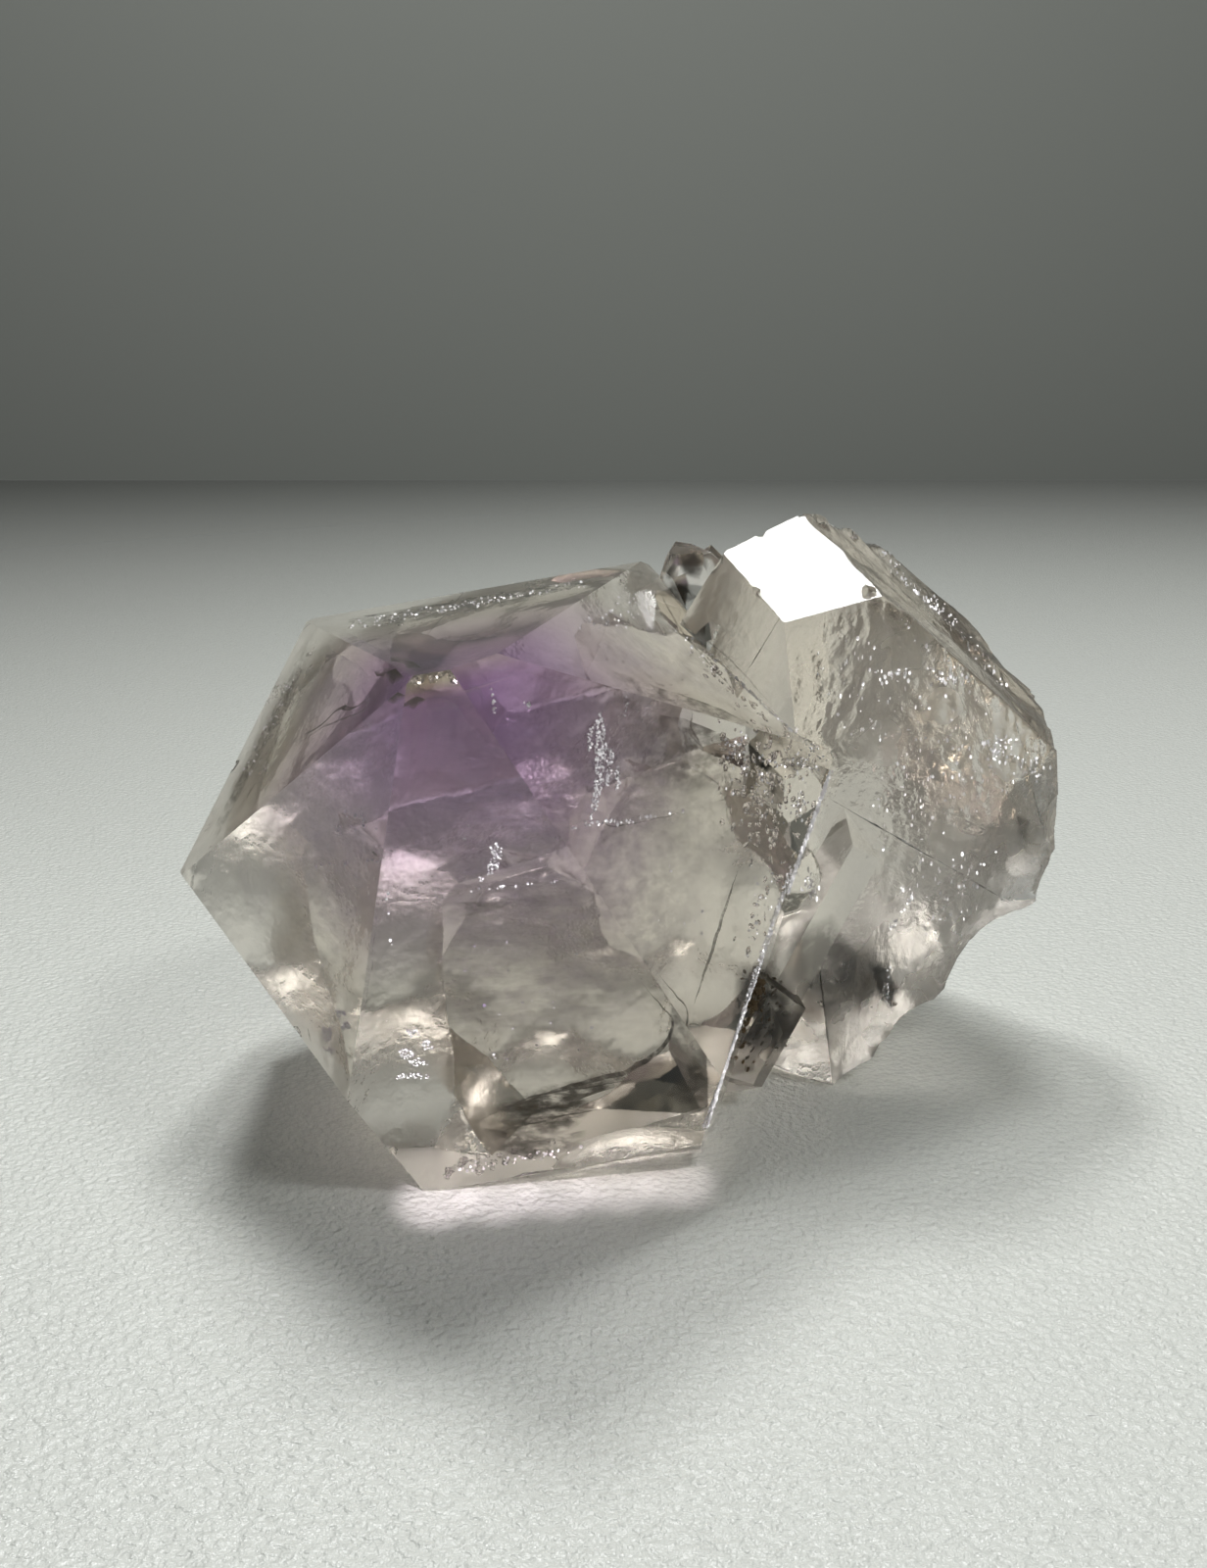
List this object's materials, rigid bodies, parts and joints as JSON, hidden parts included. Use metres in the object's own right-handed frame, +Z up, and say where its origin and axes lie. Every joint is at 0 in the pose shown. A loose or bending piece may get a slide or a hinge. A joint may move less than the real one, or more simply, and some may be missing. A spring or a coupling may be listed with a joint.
{
  "type": "amethyst crystal",
  "caption": "Broken-off quartz specimen: a purple six-sided amethyst point grown together with a clear to smoky grey quartz crystal, resting on its broken base.",
  "frame": {"origin": "under the middle of the stone, on the surface that it rests on", "axes": "+Z up; the big point looks towards -Y and upwards; +X towards the grey crystal"},
  "size_m": [0.0494, 0.0412, 0.0332],
  "materials": {
    "quartz": "clear to cloudy natural crystal, pale purple zones, glassy crystal faces and shell-like broken surfaces"
  },
  "bodies": {
    "root": {"crystal": "quartz"}
  },
  "joints": []
}
